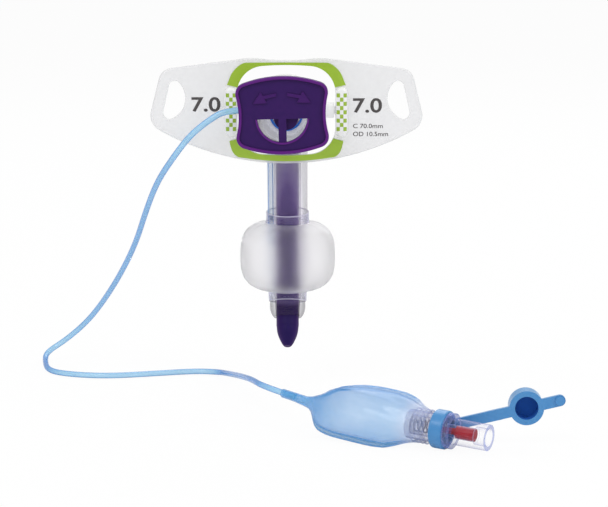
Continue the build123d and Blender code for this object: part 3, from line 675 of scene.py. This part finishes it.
# One-way valve: a clear acrylic body with a Luer mouth, holding a red plunger, a steel spring and a rubber
# seal. A nozzle in the mouth pushes the plunger in and lets air pass; the spring shuts it again.
valve_centre = Vector((37.0, -32.1, -72.2)) / 1000
valve_dir = Vector((0.87984, -0.47177, -0.05756))
valve_side = Vector((0.47255, 0.88130, 0.0))
mouth_from = 0.01215
shoulder_from, shoulder_to = 0.0017, 0.0032
valve_pale, valve_rim, valve_edge = (0.78, 0.78, 0.93), (0.25, 0.29, 0.66), (0.25, 0.31, 0.68)
clear_valve, shader, ink, here = plastic(
    "clear_valve", (0.62, 0.68, 0.9), roughness=0.08, coat=0.08, specular=0.2)
rim = ink.facing(blend=0.45)
flow = orange_peel(ink, here, shader, scale=300.0, depth=0.00003)
valve_along = distance_along(here, valve_centre, valve_dir)
mouth = valve_along > mouth_from
tail = valve_along < 0.0
shoulder = (valve_along > shoulder_from) * (valve_along < shoulder_to)
tint = rim.between(valve_pale, valve_rim)
ink.maths("MAXIMUM", mouth, shoulder).between(tint, valve_edge).feed(shader, "Base Color")
clear = 0.008 + 0.012 * flow + 0.8 * rim ** 2.0
(clear + 0.35 * mouth + 0.22 * shoulder + 0.14 * tail).feed(shader, "Alpha")
dress("valve_housing", clear_valve)

rib_sizes = {"Ribs": 4, "Pitch": 0.0011, "First": -0.0065, "Radius": 0.00405, "Thickness": 0.00018}
neck_ribs, rib_keys, make, want = shape_tree("neck_ribs", rib_sizes)
start = make.node("ShaderNodeCombineXYZ", (), {"Z": want["First"]})
step = make.node("ShaderNodeCombineXYZ", (), {"Z": want["Pitch"]})
sites = make.node("GeometryNodeMeshLine", (), {
    "Count": want["Ribs"], "Start Location": start, "Offset": step})
hoop = make.node("GeometryNodeCurvePrimitiveCircle", (), {"Resolution": 72, "Radius": want["Radius"]})
wire = make.node("GeometryNodeCurvePrimitiveCircle", (), {"Resolution": 10, "Radius": want["Thickness"]})
rib = make.node("GeometryNodeCurveToMesh", (), {"Curve": hoop, "Profile Curve": wire})
ribs = make.node("GeometryNodeInstanceOnPoints", (), {"Points": sites, "Instance": rib})
close_tree(make, ribs, clear_valve)
valve_frame = Matrix.Identity(4)
for column, direction in enumerate((valve_side, valve_dir.cross(valve_side), valve_dir)):
    for axis in range(3):
        valve_frame[axis][column] = direction[axis]
valve_frame.translation = valve_centre
ribs_piece = grow("valve_neck_ribs", neck_ribs, rib_keys, rib_sizes, valve_frame, "tube")
for face in ribs_piece.data.polygons:
    face.use_smooth = True

red_plunger, shader, ink, here = plastic(
    "red_plunger", (0.4, 0.002, 0.012), roughness=0.35, coat=0.04, specular=0.2)
speck = orange_peel(ink, here, shader, scale=800.0, depth=0.00002)
speck.between((0.3, 0.0, 0.008), (0.42, 0.003, 0.016)).feed(shader, "Base Color")
dress("valve_plunger", red_plunger)

valve_rubber, shader, ink, here = plastic("valve_rubber", (0.012, 0.012, 0.013), roughness=0.6)
bloom = orange_peel(ink, here, shader, scale=1500.0, depth=0.00002)
bloom.between((0.01, 0.01, 0.011), (0.03, 0.03, 0.032)).feed(shader, "Base Color")
dress("valve_seal", valve_rubber)

# The spring is a copy of its solid's mesh. The real spring shortens towards its back end as the plunger goes
# in.
spring_steel, shader, ink, here = plastic("spring_steel", (0.24, 0.25, 0.3), roughness=0.25)
shader.inputs["Metallic"].default_value = 1.0
(0.18 + 0.2 * ink.noise(here, scale=4000.0)).feed(shader, "Roughness")
spring = set_out("closing_spring", dress("valve_spring", spring_steel).data.copy())
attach(spring, "tube")
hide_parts("valve_spring")
coil = [(corner.co - valve_centre).dot(valve_dir) for corner in spring.data.vertices]
coil_back, coil_front = min(coil), max(coil)
press = next(joint for joint in frame["joints"] if joint["name"] == "plunger_press")
1 - press["range_m"][1] / (coil_front - coil_back)
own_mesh(spring)


# Cap and tether: mid blue polyethylene, moulded in one: a ring gripping the valve, a thin strap and a
# cup-shaped cap with a thumb tab. The strap is the cap's hinge.
strap_hinge = Vector((49.765, -28.2663, -69.6881)) / 1000
strap_dir = Vector((0.97358, 0.0, 0.22835))
strap_up = Vector((-0.22835, 0.0, 0.97358))
strap_out = Vector((0.0, -1.0, 0.0))
strap_half = 0.00132
strap_deep = 0.00047
web_half = 0.0016
web_steps = 16
cup_reach = 0.0078
cup_centre = strap_hinge + strap_dir * cup_reach
cup_radius = 0.00283
cup_front = 0.0004
cap_plain, cap_painted_sheen, cup_painted_shade = (0.038, 0.22, 0.52), (0.14, 0.4, 0.72), (0.006, 0.11, 0.46)
cap_blue, shader, ink, here = plastic("cap_blue", (0.04, 0.225, 0.53), roughness=0.32, coat=0.2)
x, y, z = here.parts()
cup_x, cup_z = x - cup_centre.x, z - cup_centre.z
# Painted shade: the cup's inside is darkened where its recess is shaded, and its gloss is dulled.
shaded_cup_inside = ((cup_x * cup_x + cup_z * cup_z) ** 0.5 < cup_radius) * (y > cup_centre.y - cup_front)
rim = ink.facing(blend=0.3)
skin_marks = orange_peel(ink, here, shader, scale=600.0, depth=0.00003)
# The cap is lighter towards its outline, a painted sheen, with random skin marks on top.
outside_sheen_and_marks = (0.6 * rim + 0.2 * skin_marks).between(cap_plain, cap_painted_sheen)
shaded_cup_inside.between(outside_sheen_and_marks, cup_painted_shade).feed(shader, "Base Color")
(0.2 - 0.2 * shaded_cup_inside).feed(shader, "Coat Weight")
(0.32 + 0.5 * shaded_cup_inside).feed(shader, "Roughness")
dress("cap_tether", cap_blue)
dress("luer_cap", cap_blue)

web_rings = []
for step in range(web_steps + 1):
    middle = strap_hinge + strap_dir * web_half * (2 * step / web_steps - 1)
    corners = []
    for across, out in ((-1, -1), (1, -1), (1, 1), (-1, 1)):
        corners.append(middle + strap_up * across * strap_half + strap_out * out * strap_deep)
    web_rings.append(corners)
web = skin("strap_web", web_rings, None, 0.0, closed_ends=True)
for face in web.data.polygons:
    face.use_smooth = False
web.data.materials.append(cap_blue)
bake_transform(web)

# The pieces at the line's far end: the balloon, the valve and the cap.
nodes = frame["nodes"]
([balloon, ribs_piece, spring, web] + [nodes[name] for name in (
            "valve_housing", "valve_plunger", "valve_seal", "cap_tether", "luer_cap")])


# Studio: a wide pale floor that stays white to the camera but keeps its shadows, three soft round lamps and a
# bright room. The camera stands in front, a little above the tube, with a long lens.
floor_half = 6.0
floor_z = -0.077
floor_glow_share = 0.94
floor_corners = [(-1, -1), (1, -1), (1, 1), (-1, 1)]
floor_mesh = bpy.data.meshes.new("floor")
floor_places = [(across * floor_half, away * floor_half, floor_z) for across, away in floor_corners]
floor_mesh.from_pydata(floor_places, [], [(0, 1, 2, 3)])
floor = set_out("floor", floor_mesh)
pale_floor, shader, ink = plastic("pale_floor", (0.9, 0.9, 0.9), roughness=0.9, specular=0.0)[:3]
seen = ink.node("ShaderNodeLightPath", out="Is Camera Ray")
through = ink.node("ShaderNodeLightPath", out="Is Transmission Ray")
glow = ink.node("ShaderNodeEmission", (), {"Color": (1.0, 1.0, 1.0, 1.0), "Strength": 1.0})
mix_shaders(ink, ink.maths("MAXIMUM", seen, through) * floor_glow_share, shader, glow)
floor_mesh.materials.append(pale_floor)

lit_point = Vector((0, 0, -0.03))
for name, place, size, power in (
        ("key", (-0.35, -0.5, 0.6), 0.5, 2.2),
        ("fill", (0.5, -0.35, 0.45), 0.5, 1.4),
        ("back", (0.1, 0.55, 0.5), 0.6, 1.6)):
    lamp = bpy.data.lights.new(name, "AREA")
    lamp.shape = "DISK"
    lamp.size = size
    lamp.energy = power
    light = set_out(name, lamp)
    light.location = place
    light.rotation_euler = (lit_point - Vector(place)).to_track_quat("-Z", "Y").to_euler()

world = bpy.data.worlds.new("soft_room")
world.use_nodes = True
room = world.node_tree.nodes["Background"]
room.inputs["Color"].default_value = (1.0, 1.0, 1.0, 1.0)
room.inputs["Strength"].default_value = 0.62
bpy.context.scene.world = world

camera_data = bpy.data.cameras.new("photo_camera")
camera_data.lens = 144.95
camera_data.sensor_width = 36.0
camera_data.clip_start = 0.01
camera = set_out("photo_camera", camera_data)
camera.location = (0.0043137, -0.5975238, 0.0646536)
camera.rotation_euler = (radians(80.5), 0.0, 0.0)
bpy.context.scene.camera = camera
bpy.context.scene.view_settings.view_transform = "Standard"
